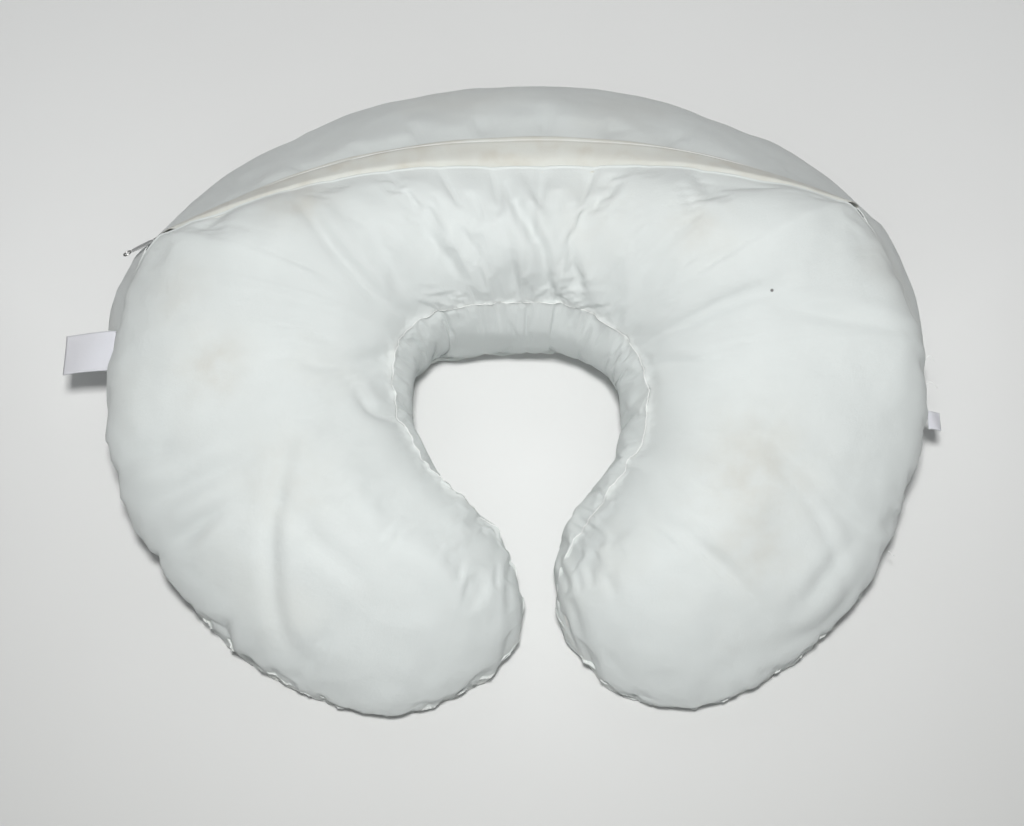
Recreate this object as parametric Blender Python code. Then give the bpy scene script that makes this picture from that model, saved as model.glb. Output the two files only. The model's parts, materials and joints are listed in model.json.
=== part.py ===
"""C-shaped nursing pillow with a zipped slip cover, lying flat on its underside.

Units are metres, +Z is up.  The opening between the two arms points to -Y, the
thick back of the C lies towards +Y.  The origin is under the middle of the
bounding box, at the height of the surface that the pillow lies on.

The pillow is a fibre filling in a sewn casing, in a loose cover of three sewn
panels.  A coil zip follows a circular arc along the back under a sewn lap, so its
slider turns about the axis of that arc.
"""
import bpy
import bmesh
import numpy as np
from math import atan, cos, pi, radians, sin
from mathutils import Vector

MM = 0.001

# ---------------------------------------------------------------- driving sizes
CENTRE = np.array([-0.00888, 0.02469, 0.0])   # middle of the outlines below, moved to the origin

# Zip arc: a circle in the plane z = ZIP_HEIGHT + ZIP_SLOPE * y.
ZIP_HEIGHT, ZIP_SLOPE = 0.0619, 0.50
ZIP_TILT = atan(ZIP_SLOPE)
ZIP_RADIUS = 0.565
ZIP_CENTRE = (0.0165, -0.4004)              # in the plane, x and up-slope
ZIP_START, ZIP_END = radians(116.2), radians(69.2)
ZIP_CONE = radians(66)                      # slope of the zip's tapes below the plane

COVER_THICKNESS = 1.2 * MM
CASING_THICKNESS = 1.0 * MM
LAYER_GAP = 0.35 * MM
SEAM_GAP = 0.3 * MM                         # half the gap between two sewn edges
ZIP_SLOT = 6.8 * MM                         # half the opening between the cover's zip edges
ZIP_BED = 3.2 * MM                          # how deep the zip beds into the filling
LAP_FLAT = 14 * MM                          # straight half-width of the cover beside the zip
THREAD_RADIUS = 0.55 * MM

# Cross-sections, counted from the left arm's tip round the back to the right arm's tip.
# Outer seam in mm; a whole number is a section on the zip arc.
OUTER_SEAM = [
    (6, -128, 31), (-2, -153, 24), (-27, -175, 17), (-80, -192, 12), (-139, -179, 15),
    (-200, -141, 27), (-246, -80, 46), (-265, -12, 68), (-260, 36, 86),
    9, 10, 11, 12, 13, 14, 15,
    (258, 50, 93), (266, -2, 71), (255, -55, 52), (228, -115, 33), (180, -161, 20),
    (120, -186, 13), (69, -180, 14), (42, -158, 22), (28, -137, 31)]
# Seam round the top of the inner opening, at the same sections.
INNER_SEAM = [
    (3, -119, 39), (0, -106, 49), (-8, -90, 61), (-25, -74, 74), (-46, -58, 85),
    (-64, -35, 94), (-75, -13, 100), (-78, 7, 103), (-76, 24, 105), (-68, 38, 105),
    (-50, 49, 106), (-26, 53, 106), (2, 54, 106), (28, 53, 106), (52, 45, 105),
    (70, 31, 104), (80, 14, 102), (82, -8, 99), (79, -30, 95), (70, -47, 89),
    (57, -64, 81), (44, -80, 72), (33, -96, 61), (26, -112, 50), (26, -124, 39)]
ZIP_FIRST, ZIP_LAST = 9, 15
LAST = len(OUTER_SEAM) - 1

# Shape of the cross-section at some of the sections:
#   rise    angle at which the top panel leaves the inner seam, degrees above level
#   crown   length of that rise, as a share of the section's width
#   fall    slope of the top panel at the outer seam, degrees below level
#   drop    length of that slope, as a share of the width
#   turn    slope of the bottom panel just past the outer seam, degrees below level
#   shoulder, bulge, foot   mm: length of that slope, how far the wall stands out past
#           the seam, and where it meets the floor, counted from the seam
#   heel    mm from the inner seam to the inner edge of the flat underside
#   hem     height of the inner bottom seam as a share of the inner top seam's
#   belly   mm that the gusset stands into the opening
#   rest    1 where the underside reaches the floor
SHAPE_AT = [0, 1, 2, 4, 7, 9, 10, 11, 12, 13, 14, 15, 17, 20, 22, 23, 24]
SHAPE = [
    (60, .50, 60, .50, 115,  3,  0,  -3,  3, .80,  1, .35),
    (58, .50, 66, .50, 115,  8,  0,  -9,  8, .50,  2, .85),
    (56, .50, 70, .48, 115, 11,  0, -14, 14, .30,  3, 1.0),
    (52, .42, 72, .40, 115, 14,  0, -14, 15, .22,  4, 1.0),
    (56, .33, 78, .34,  92, 25,  3, -24, 16, .18,  8, 1.0),
    (60, .36, 62, .24,  62, 38, 36,   4, 18, .16,  8, 1.0),
    (62, .42, 42, .26,  42, 50, 76,  32, 20, .15,  8, 1.0),
    (62, .52, 26, .30,  26, 58, 93,  48, 20, .15,  8, 1.0),
    (62, .66, 18, .30,  18, 58, 97,  52, 22, .15,  8, 1.0),
    (62, .56, 22, .30,  22, 57, 94,  50, 20, .15,  8, 1.0),
    (62, .42, 40, .28,  40, 52, 81,  36, 20, .15,  9, 1.0),
    (60, .36, 60, .24,  60, 42, 42,   4, 18, .16, 10, 1.0),
    (56, .33, 78, .34,  92, 25,  3, -24, 16, .18, 12, 1.0),
    (52, .42, 72, .40, 115, 14,  0, -14, 15, .22, 14, 1.0),
    (56, .50, 70, .48, 115, 11,  0, -14, 14, .30, 15, 1.0),
    (58, .50, 66, .50, 115,  8,  0,  -9,  8, .50, 13, .85),
    (60, .50, 60, .50, 115,  3,  0,  -3,  3, .80,  4, .35)]

STEP = 0.5                                  # sections between two modelled rings

# Zip parts, in mm: across the zip, and out of its plane.
COIL_IN, COIL_OUT, COIL_HALF = 0.8, 2.6, 0.8
TAPE_IN, TAPE_BEND, TAPE_FLAT, TAPE_EDGE = 2.9, 4.0, 5.8, 11.0
TAPE_HALF = 0.25
TAPE_FOLD = 0.4                             # how far the tape's upper face turns outside its lower one
TAPE_DEPTH = 2.1                            # depth of the tape under the cover's face
SLIDER_HALF_WIDTH, SLIDER_LENGTH = 3.5, 9.0
SLIDER_PLATE_LOW, SLIDER_PLATE_TOP = 1.1, 2.0
BAIL_TOP = 3.6
PULL_LENGTH, PULL_HALF_WIDTH, PULL_THICKNESS = 15.0, 2.2, 0.9
RING_RADIUS, RING_WIRE = 2.6, 0.55
LAP_GAP, LAP_HUMP, LAP_THICKNESS = 0.4, 5.0, 1.0

MATERIALS = {
    "cover_fabric": ((0.72, 0.76, 0.75), 0.85, 0.0),
    "casing_fabric": ((0.80, 0.80, 0.78), 0.90, 0.0),
    "polyester_fibre": ((0.86, 0.86, 0.84), 1.0, 0.0),
    "sewing_thread": ((0.84, 0.86, 0.85), 0.7, 0.0),
    "zip_tape": ((0.70, 0.72, 0.71), 0.8, 0.0),
    "zip_coil": ((0.78, 0.79, 0.78), 0.4, 0.0),
    "zip_metal": ((0.45, 0.45, 0.44), 0.35, 1.0),
    "label_fabric": ((0.80, 0.81, 0.84), 0.6, 0.0),
}


# ---------------------------------------------------------------- small helpers
def clear_scene():
    for item in list(bpy.data.objects):
        bpy.data.objects.remove(item, do_unlink=True)


def material(name):
    found = bpy.data.materials.get(name)
    if found:
        return found
    colour, roughness, metallic = MATERIALS[name]
    made = bpy.data.materials.new(name)
    made.use_nodes = True
    shader = made.node_tree.nodes["Principled BSDF"]
    shader.inputs["Base Color"].default_value = (*colour, 1)
    shader.inputs["Roughness"].default_value = roughness
    shader.inputs["Metallic"].default_value = metallic
    made.diffuse_color = (*colour, 1)
    return made


def add_object(name, verts, faces, material_name, origin=(0, 0, 0), parent=None):
    """One closed mesh object whose origin is `origin`, given in world metres."""
    origin = np.array(origin, float)
    mesh = bpy.data.meshes.new(name)
    mesh.from_pydata([tuple(np.array(v) - origin) for v in verts], [], faces)
    work = bmesh.new()
    work.from_mesh(mesh)
    bmesh.ops.recalc_face_normals(work, faces=work.faces)
    work.to_mesh(mesh)
    work.free()
    mesh.shade_smooth()
    mesh.set_sharp_from_angle(angle=radians(40))
    item = bpy.data.objects.new(name, mesh)
    item.data.materials.append(material(material_name))
    bpy.context.scene.collection.objects.link(item)
    if parent:
        item.parent = parent
    else:
        item.location = origin
    return item


def smooth_row(rows, at):
    """Catmull-Rom interpolation down the columns of `rows` at the row number `at`."""
    rows = np.asarray(rows, float)
    last = len(rows) - 1
    low = int(min(max(np.floor(at), 0), last - 1))
    t = at - low
    b, c = rows[low], rows[low + 1]
    a = rows[low - 1] if low > 0 else 2 * b - c
    d = rows[low + 2] if low + 2 <= last else 2 * c - b
    return 0.5 * (2 * b + (c - a) * t + (2 * a - 5 * b + 4 * c - d) * t ** 2
                  + (3 * b - a - 3 * c + d) * t ** 3)


def bezier(a, b, c, d, count):
    t = np.linspace(0, 1, count + 1)[:, None]
    return ((1 - t) ** 3 * np.asarray(a) + 3 * (1 - t) ** 2 * t * np.asarray(b)
            + 3 * (1 - t) * t ** 2 * np.asarray(c) + t ** 3 * np.asarray(d))


def direction(degrees_down):
    angle = radians(degrees_down)
    return np.array([cos(angle), -sin(angle)])


def unit(vector):
    return vector / np.linalg.norm(vector)


# ---------------------------------------------------------------- the zip's arc
def arc_point(azimuth, radius=ZIP_RADIUS):
    x = ZIP_CENTRE[0] + radius * cos(azimuth)
    y = (ZIP_CENTRE[1] + radius * sin(azimuth)) * cos(ZIP_TILT)
    return np.array([x, y, ZIP_HEIGHT + ZIP_SLOPE * y]) - CENTRE


def arc_axis():
    return np.array([0, -sin(ZIP_TILT), cos(ZIP_TILT)])


def arc_frame(azimuth):
    """Unit vectors at a point of the zip: along it, across it downhill, out of it."""
    out = unit(arc_point(azimuth) - arc_point(azimuth, 0.0))
    across = out * cos(ZIP_CONE) - arc_axis() * sin(ZIP_CONE)
    along = np.cross(arc_axis(), out)
    return along, across, np.cross(along, across) * -1


def zip_azimuth(section):
    share = (section - ZIP_FIRST) / (ZIP_LAST - ZIP_FIRST)
    return ZIP_START + (ZIP_END - ZIP_START) * share


def zip_share(section):
    """1 along the zip, falling to 0 over half a section past its ends."""
    return float(np.clip(min(section - ZIP_FIRST, ZIP_LAST - section) / 0.5 + 1, 0, 1))


# ---------------------------------------------------------------- the cover's outline
OUTER_POINTS = [arc_point(zip_azimuth(p)) if isinstance(p, int)
                else np.array(p) * MM - CENTRE for p in OUTER_SEAM]
INNER_POINTS = [np.array(p) * MM - CENTRE for p in INNER_SEAM]


def outer_seam(section):
    if ZIP_FIRST <= section <= ZIP_LAST:
        return arc_point(zip_azimuth(section))
    return smooth_row(OUTER_POINTS, section)


def inner_seam(section):
    return smooth_row(INNER_POINTS, section)


def section_ring(section):
    """Closed outline of the cover at a section, with the numbers of its seam points."""
    (rise, crown, fall, drop, turn, shoulder, bulge, foot, heel, hem, belly,
     rest) = smooth_row(SHAPE, np.interp(section, SHAPE_AT, range(len(SHAPE_AT))))
    outer, inner = outer_seam(section), inner_seam(section)
    level = (outer - inner)[:2]
    width = np.linalg.norm(level)
    level = level / width
    top, seam = np.array([0, inner[2]]), np.array([width, outer[2]])
    floor = outer[2] * (1 - min(rest, 1))
    share = zip_share(section)
    flat = 3 * MM + (LAP_FLAT - 3 * MM) * share
    slot = SEAM_GAP + (ZIP_SLOT - SEAM_GAP) * share
    down_in, down_out = direction(fall), direction(turn)

    panel = bezier(top, top + crown * width * direction(-rise),
                   seam - down_in * (flat + drop * width), seam - down_in * flat, 8)
    zip_in, zip_out = seam - down_in * slot, seam + down_out * slot

    start = seam + down_out * flat
    shoulder = min(shoulder * MM, 0.9 * (start[1] - floor) / sin(radians(turn)))
    foot_point = np.array([width + foot * MM, floor])
    t = np.linspace(0.2, 0.9, 15)
    plain = bezier(start, start + down_out * shoulder, foot_point, foot_point, 40)[:, 0]
    plain = np.interp(t, np.linspace(0, 1, 41), plain)
    reach = np.min((width + bulge * MM - plain) / (3 * (1 - t) * t ** 2))
    reach = max(reach, 2 * MM)
    wall = bezier(start, start + down_out * shoulder, foot_point + [reach, 0],
                  foot_point, 6)
    small = min(1, width / 0.05)
    hem_point = np.array([3 * MM * small, inner[2] * hem])
    heel_point = np.array([heel * MM, floor])
    base = np.linspace(foot_point, heel_point, 4)[1:]
    corner = bezier(heel_point, heel_point - [heel * MM / 2, 0],
                    hem_point - [2 * MM * small, 0.35 * (hem_point[1] - floor)],
                    hem_point, 3)[1:]
    middle = (hem_point + top) / 2 - [2 * belly * MM * small, 0]
    t = np.linspace(0, 1, 4)[1:-1, None]
    gusset = (1 - t) ** 2 * hem_point + 2 * t * (1 - t) * middle + t ** 2 * top

    flat_ring = np.vstack([panel, [zip_in], [seam], [zip_out], wall, base, corner, gusset])
    marks = {"top": 0, "zip": len(panel) + 1}
    marks["hem"] = marks["zip"] + 1 + len(wall) + len(base) + len(corner)
    ring = np.column_stack([inner[0] + level[0] * flat_ring[:, 0],
                            inner[1] + level[1] * flat_ring[:, 0], flat_ring[:, 1]])
    return ring, marks


SECTIONS = np.arange(0, LAST + STEP / 2, STEP)
RINGS = np.array([section_ring(s)[0] for s in SECTIONS])
MARKS = section_ring(12)[1]
COUNT = RINGS.shape[1]


def ring_normals():
    """Outward directions at every ring point, lengthened at the seams' ridges."""
    along = np.gradient(RINGS, axis=0)
    before = np.roll(RINGS, 1, axis=1) - RINGS
    after = np.roll(RINGS, -1, axis=1) - RINGS
    for j, other in ((MARKS["zip"] - 1, MARKS["zip"] - 2), (MARKS["zip"] + 1, MARKS["zip"] + 2)):
        if other < j:
            after[:, j] = -before[:, j]
        else:
            before[:, j] = -after[:, j]
    before /= np.linalg.norm(before, axis=2, keepdims=True)
    after /= np.linalg.norm(after, axis=2, keepdims=True)
    across = after - before
    normal = np.cross(along, across)
    normal /= np.linalg.norm(normal, axis=2, keepdims=True)
    side = np.cross(along, after)
    side /= np.linalg.norm(side, axis=2, keepdims=True)
    lean = np.clip((normal * side).sum(axis=2, keepdims=True), 0.6, 1)
    normal = normal / lean
    zip_at = MARKS["zip"]
    for j in (zip_at - 1, zip_at + 1):
        sewn = np.array([zip_share(s) < 0.5 for s in SECTIONS])
        normal[sewn, j] = normal[sewn, zip_at]
    return normal


NORMALS = ring_normals()
if (NORMALS[:, 4, 2]).mean() < 0:
    NORMALS = -NORMALS


def inset(depth, bed=0.0):
    """Rings moved inwards by `depth`, and by `bed` more under the zip."""
    amount = np.full((len(SECTIONS), COUNT), depth)
    for i, section in enumerate(SECTIONS):
        for j in range(MARKS["zip"] - 1, MARKS["zip"] + 2):
            amount[i, j] += bed * zip_share(section)
    return RINGS - NORMALS * amount[:, :, None]


def columns(part):
    """Ring columns of a panel, in order."""
    if part == "top":
        return list(range(0, MARKS["zip"]))
    if part == "bottom":
        return list(range(MARKS["zip"] + 1, MARKS["hem"] + 1))
    return list(range(MARKS["hem"], COUNT)) + [0]


def trim_ends(grid, ends):
    """Draw the first and last column in by the seam gap, along the surface."""
    grid = grid.copy()
    for end, (edge, near) in ((0, (0, 1)), (1, (-1, -2))):
        if ends[end]:
            step = grid[:, near] - grid[:, edge]
            step /= np.linalg.norm(step, axis=1, keepdims=True)
            grid[:, edge] += step * SEAM_GAP
    return grid


# ---------------------------------------------------------------- mesh builders
def shell(name, outer, inner, material_name):
    """Closed sheet of material between two grids of the same size."""
    rows, cols = outer.shape[:2]
    verts = list(outer.reshape(-1, 3)) + list(inner.reshape(-1, 3))
    faces, second = [], rows * cols
    for i in range(rows - 1):
        for j in range(cols - 1):
            a, b, c, d = (i * cols + j, i * cols + j + 1, (i + 1) * cols + j + 1,
                          (i + 1) * cols + j)
            for face in ((a, b, c), (a, c, d)):
                faces.append(face)
                faces.append(tuple(second + v for v in reversed(face)))
    rim = ([(0, j) for j in range(cols)] + [(i, cols - 1) for i in range(1, rows)]
           + [(rows - 1, j) for j in range(cols - 2, -1, -1)]
           + [(i, 0) for i in range(rows - 2, 0, -1)])
    rim = [i * cols + j for i, j in rim]
    for a, b in zip(rim, rim[1:] + rim[:1]):
        faces.append((b, a, second + a, second + b))
    return add_object(name, verts, faces, material_name)


def sweep(name, rings, material_name, origin=(0, 0, 0), parent=None):
    """Closed bar through rings of equal length, with flat ends."""
    count = len(rings[0])
    verts = [p for ring in rings for p in ring]
    faces = [tuple(range(count)), tuple(reversed([len(verts) - count + j for j in range(count)]))]
    for i in range(len(rings) - 1):
        for j in range(count):
            k = (j + 1) % count
            a, b, c, d = i * count + j, i * count + k, (i + 1) * count + k, (i + 1) * count + j
            faces += [(a, b, c), (a, c, d)]
    return add_object(name, verts, faces, material_name, origin, parent)


def thread(name, path, material_name="sewing_thread", radius=THREAD_RADIUS):
    """Six-sided round bar along a path."""
    path = np.array(path)
    tangents = np.gradient(path, axis=0)
    rings = []
    for point, tangent in zip(path, tangents):
        tangent = unit(tangent)
        side = unit(np.cross(tangent, [0.13, 0.21, 1.0]))
        up = np.cross(side, tangent)
        rings.append([point + radius * (side * cos(a) + up * sin(a))
                      for a in np.arange(6) * pi / 3])
    return sweep(name, rings, material_name)


# ---------------------------------------------------------------- filling, casing, cover
def make_filling():
    depth = COVER_THICKNESS + CASING_THICKNESS + 2 * LAYER_GAP
    grid = inset(depth, ZIP_BED)[2:-2]
    sweep("fibre_fill", [list(ring) for ring in grid], "polyester_fibre")


def make_panels(prefix, names, outer_depth, thickness, bed, first, material_name):
    outer, inner = inset(outer_depth, bed), inset(outer_depth + thickness, bed)
    rows = slice(first, len(SECTIONS) - first)
    for part, name in names.items():
        cols = columns(part)
        ends = {"top": (True, False), "bottom": (False, True), "gusset": (True, True)}[part]
        layers = [trim_ends(grid[rows][:, cols], ends) for grid in (outer, inner)]
        shell(prefix + name, *layers, material_name)


def make_casing_and_cover():
    names = {"top": "_top_panel", "bottom": "_bottom_panel", "gusset": "_gusset"}
    make_panels("cover", names, 0.0, COVER_THICKNESS, 0.0, 0, "cover_fabric")
    make_panels("casing", names, COVER_THICKNESS + LAYER_GAP, CASING_THICKNESS, ZIP_BED, 1,
                "casing_fabric")


def seam_path(column, first, last, lift):
    grid = RINGS + NORMALS * lift
    return [grid[i, column] for i, s in enumerate(SECTIONS) if first <= s <= last]


def make_seam_threads():
    lift = THREAD_RADIUS + 0.35 * MM
    thread("outer_seam_thread_left", seam_path(MARKS["zip"], 0.5, ZIP_FIRST - 1, lift))
    thread("outer_seam_thread_right", seam_path(MARKS["zip"], ZIP_LAST + 1, LAST - 0.5, lift))
    thread("inner_top_seam_thread", seam_path(0, 0.5, LAST - 0.5, lift))
    thread("inner_bottom_seam_thread", seam_path(MARKS["hem"], 0.5, LAST - 0.5, lift))


# ---------------------------------------------------------------- zip
def zip_point(azimuth, across, out):
    """World point at mm across the zip and mm out of it."""
    _, side, normal = arc_frame(azimuth)
    return arc_point(azimuth) + (side * across + normal * out) * MM


def zip_bar(name, profile, start, end, count, material_name, origin=(0, 0, 0), parent=None):
    """Profile of (across, out) points in mm, spun about the zip's axis."""
    rings = [[zip_point(a, *p) for p in profile] for a in np.linspace(start, end, count + 1)]
    return sweep(name, rings, material_name, origin, parent)


def beside_zip(section, across, lift):
    """World point at mm from the zip along the cover's section, lifted off the cover."""
    i = int(round(section / STEP))
    side = 1 if across > 0 else -1
    marks = [0, ZIP_SLOT / MM, LAP_FLAT / MM]
    place = np.interp(abs(across), marks, range(3))
    low = min(int(place), 1)
    near, far = MARKS["zip"] + side * low, MARKS["zip"] + side * (low + 1)
    share = place - low
    point = RINGS[i, near] * (1 - share) + RINGS[i, far] * share
    normal = unit(NORMALS[i, near]) * (1 - share) + unit(NORMALS[i, far]) * share
    return point + unit(normal) * lift * MM


def slant(section):
    """How far a section runs along the zip for each mm that it runs across."""
    i = int(round(section / STEP))
    along, across, _ = arc_frame(zip_azimuth(section))
    step = RINGS[i, MARKS["zip"] + 1] - RINGS[i, MARKS["zip"] - 1]
    forward = step.dot(along)
    return forward / np.sqrt(step.dot(step) - forward ** 2)


def zip_sections():
    return [s for s in SECTIONS if ZIP_FIRST <= s <= ZIP_LAST]


def make_tapes():
    for name, side in (("zip_tape_upper", -1), ("zip_tape_lower", 1)):
        rings = []
        for section in zip_sections():
            ring = []
            for face, bend in ((1, TAPE_FOLD), (-1, 0)):
                near = [zip_point(zip_azimuth(section) + side * p * MM * slant(section) / ZIP_RADIUS,
                                  side * p, face * TAPE_HALF) for p in (TAPE_IN, TAPE_BEND + bend)]
                far = [beside_zip(section, side * p, face * TAPE_HALF - TAPE_DEPTH)
                       for p in (TAPE_FLAT + bend, TAPE_EDGE)]
                ring += (near + far)[::face]
            rings.append(ring)
        sweep(name, rings, "zip_tape")


def make_coils():
    for name, side in (("zip_coil_upper", -1), ("zip_coil_lower", 1)):
        low, high = sorted((side * COIL_IN, side * COIL_OUT))
        profile = [(low, -COIL_HALF), (high, -COIL_HALF), (high, COIL_HALF), (low, COIL_HALF)]
        zip_bar(name, profile, ZIP_START, ZIP_END, 24, "zip_coil")


def make_stops():
    length = 2.5 * MM / ZIP_RADIUS
    gap = 0.4 * MM / ZIP_RADIUS
    profile = [(-2.6, -1.0), (2.6, -1.0), (2.6, 1.0), (-2.6, 1.0)]
    zip_bar("zip_top_stop", profile, ZIP_START + gap + length, ZIP_START + gap, 1, "zip_metal")
    zip_bar("zip_bottom_stop", profile, ZIP_END - gap, ZIP_END - gap - length, 1, "zip_metal")


def make_lap():
    profile = [(-12.5, LAP_GAP), (-9.5, LAP_GAP), (-5.0, LAP_HUMP), (5.0, LAP_HUMP),
               (9.5, LAP_GAP), (12.5, LAP_GAP)]
    rings = []
    for section in zip_sections()[1:-1]:
        low = [beside_zip(section, p, h) for p, h in profile]
        high = [beside_zip(section, p, h + LAP_THICKNESS) for p, h in profile]
        rings.append(low + high[::-1])
    sweep("zip_lap", rings, "cover_fabric")


def make_slider():
    """Two plates joined by a post between the coils, with a bail on the upper plate."""
    half = SLIDER_LENGTH / 2 * MM / ZIP_RADIUS
    middle = ZIP_START - half
    w, low, top, post = SLIDER_HALF_WIDTH, SLIDER_PLATE_LOW, SLIDER_PLATE_TOP, 0.45
    profile = [(-w, low), (-post, low), (-post, -low), (-w, -low), (-w, -top), (w, -top),
               (w, -low), (post, -low), (post, low), (w, low), (w, top), (1.0, top),
               (1.0, BAIL_TOP), (-1.0, BAIL_TOP), (-1.0, top), (-w, top)]
    holder = bpy.data.objects.new("zip_slider_axis", None)
    holder.location = arc_point(0, 0.0)
    bpy.context.scene.collection.objects.link(holder)
    zip_bar("zip_slider", profile, middle + half, middle - half, 3, "zip_metal",
            arc_point(0, 0.0), holder)
    return middle + half


def make_pull(end_azimuth):
    """Tab on a pin at the slider's end, with a small ring in its tip."""
    along, across, out = arc_frame(end_azimuth)
    hinge = zip_point(end_azimuth, 0, 2.9) + along * 0.8 * MM
    pivot = bpy.data.objects.new("zip_pull_axis", None)
    pivot.location = hinge
    bpy.context.scene.collection.objects.link(pivot)
    rings = []
    for length, width in ((0, 1.4), (3, PULL_HALF_WIDTH), (10, PULL_HALF_WIDTH),
                          (PULL_LENGTH, 1.6)):
        centre = hinge + along * length * MM
        rings.append([centre + (across * a * width + out * b * PULL_THICKNESS / 2) * MM
                      for a, b in ((-1, -1), (1, -1), (1, 1), (-1, 1))])
    sweep("zip_pull_tab", rings, "zip_tape", hinge, pivot)
    middle = hinge + along * (PULL_LENGTH + 0.4 + RING_RADIUS + RING_WIRE) * MM
    verts, faces, turns, sides = [], [], 16, 6
    for i in range(turns):
        a = 2 * pi * i / turns
        spoke = along * cos(a) + across * sin(a)
        for j in range(sides):
            b = 2 * pi * j / sides
            verts.append(middle + (spoke * (RING_RADIUS + RING_WIRE * cos(b))
                                   + out * RING_WIRE * sin(b)) * MM)
    for i in range(turns):
        for j in range(sides):
            k, m = (i + 1) % turns, (j + 1) % sides
            faces.append((i * sides + j, k * sides + j, k * sides + m, i * sides + m))
    add_object("zip_pull_ring", verts, faces, "zip_metal", hinge, pivot)
    return hinge, across


# ---------------------------------------------------------------- labels
def make_label(name, section, out, length, width, droop):
    """Flat folded tab that stands out of the outer seam at a section."""
    seam = outer_seam(section)
    ahead = outer_seam(section + 0.05) - outer_seam(section - 0.05)
    along = unit(np.array([ahead[0], ahead[1], 0]))
    out = unit(np.array([*out, 0]))
    root = seam + out * 2.8 * MM + np.array([0, 0, -2 * MM])
    pivot = bpy.data.objects.new(name + "_axis", None)
    pivot.location = root
    bpy.context.scene.collection.objects.link(pivot)
    rings = []
    for share in np.linspace(0, 1, 5):
        centre = root + out * share * length + np.array([0, 0, -droop * share ** 1.5])
        rings.append([centre + along * a * width / 2 + np.array([0, 0, b * 0.5 * MM])
                      for a, b in ((-1, -1), (1, -1), (1, 1), (-1, 1))])
    sweep(name, rings, "label_fabric", root, pivot)


def build():
    clear_scene()
    make_filling()
    make_casing_and_cover()
    make_seam_threads()
    make_tapes()
    make_coils()
    make_stops()
    make_lap()
    make_pull(make_slider())
    make_label("side_label", 7.9, (-1, 0.05), 27 * MM, 27 * MM, 9 * MM)
    make_label("care_label", 17.15, (1, -0.05), 8 * MM, 12 * MM, 4 * MM)


build()
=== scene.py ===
"""The finished look of a C-shaped nursing pillow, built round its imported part.

The cover's panels are rebuilt as fine cloth over the same outline as the part.  Folds,
gathers and seams are added to them along the surface's normals, and a cloth simulation
swells them between their seams.  Rows run from the left arm's tip round the back to the
right arm's tip.  Columns run round the arm: over the top from the opening's seam to the
outer seam or zip, down the outer wall, back under the pillow, and up the gusset.
"""
import bpy
import json
import numpy as np
from math import atan, cos, pi, radians, sin
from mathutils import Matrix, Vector, noise


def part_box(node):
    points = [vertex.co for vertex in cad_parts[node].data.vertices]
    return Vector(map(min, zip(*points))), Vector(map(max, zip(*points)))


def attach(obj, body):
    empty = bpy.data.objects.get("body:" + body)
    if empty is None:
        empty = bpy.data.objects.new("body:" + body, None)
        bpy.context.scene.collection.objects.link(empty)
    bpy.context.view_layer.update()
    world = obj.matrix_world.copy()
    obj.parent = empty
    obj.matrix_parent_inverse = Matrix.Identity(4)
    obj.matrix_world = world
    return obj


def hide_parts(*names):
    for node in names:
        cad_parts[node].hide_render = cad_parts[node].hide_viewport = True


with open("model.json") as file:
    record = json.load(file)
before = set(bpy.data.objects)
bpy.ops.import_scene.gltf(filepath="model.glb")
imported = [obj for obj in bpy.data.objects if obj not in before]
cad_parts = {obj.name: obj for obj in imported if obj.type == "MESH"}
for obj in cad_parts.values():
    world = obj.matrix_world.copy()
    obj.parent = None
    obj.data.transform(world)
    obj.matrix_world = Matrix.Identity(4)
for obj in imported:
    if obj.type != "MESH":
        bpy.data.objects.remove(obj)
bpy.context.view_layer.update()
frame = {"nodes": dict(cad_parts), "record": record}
MM = 0.001

# ---------------------------------------------------------------- the part's outline
CENTRE = np.array([-0.00888, 0.02469, 0.0])
ZIP_HEIGHT, ZIP_SLOPE = 0.0619, 0.50
ZIP_TILT = atan(ZIP_SLOPE)
ZIP_RADIUS = 0.565
ZIP_CENTRE = (0.0165, -0.4004)
ZIP_START, ZIP_END = radians(116.2), radians(69.2)
ZIP_SLOT = 6.8 * MM                         # half the opening between the cover's zip edges
STRIP = 14 * MM                             # straight half-width of the cover beside the zip
OUTER_SEAM = [
    (6, -128, 31), (-2, -153, 24), (-27, -175, 17), (-80, -192, 12), (-139, -179, 15),
    (-200, -141, 27), (-246, -80, 46), (-265, -12, 68), (-260, 36, 86),
    9, 10, 11, 12, 13, 14, 15,
    (258, 50, 93), (266, -2, 71), (255, -55, 52), (228, -115, 33), (180, -161, 20),
    (120, -186, 13), (69, -180, 14), (42, -158, 22), (28, -137, 31)]
INNER_SEAM = [
    (3, -119, 39), (0, -106, 49), (-8, -90, 61), (-25, -74, 74), (-46, -58, 85),
    (-64, -35, 94), (-75, -13, 100), (-78, 7, 103), (-76, 24, 105), (-68, 38, 105),
    (-50, 49, 106), (-26, 53, 106), (2, 54, 106), (28, 53, 106), (52, 45, 105),
    (70, 31, 104), (80, 14, 102), (82, -8, 99), (79, -30, 95), (70, -47, 89),
    (57, -64, 81), (44, -80, 72), (33, -96, 61), (26, -112, 50), (26, -124, 39)]
ZIP_FIRST, ZIP_LAST = 9, 15
LAST = len(OUTER_SEAM) - 1
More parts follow.
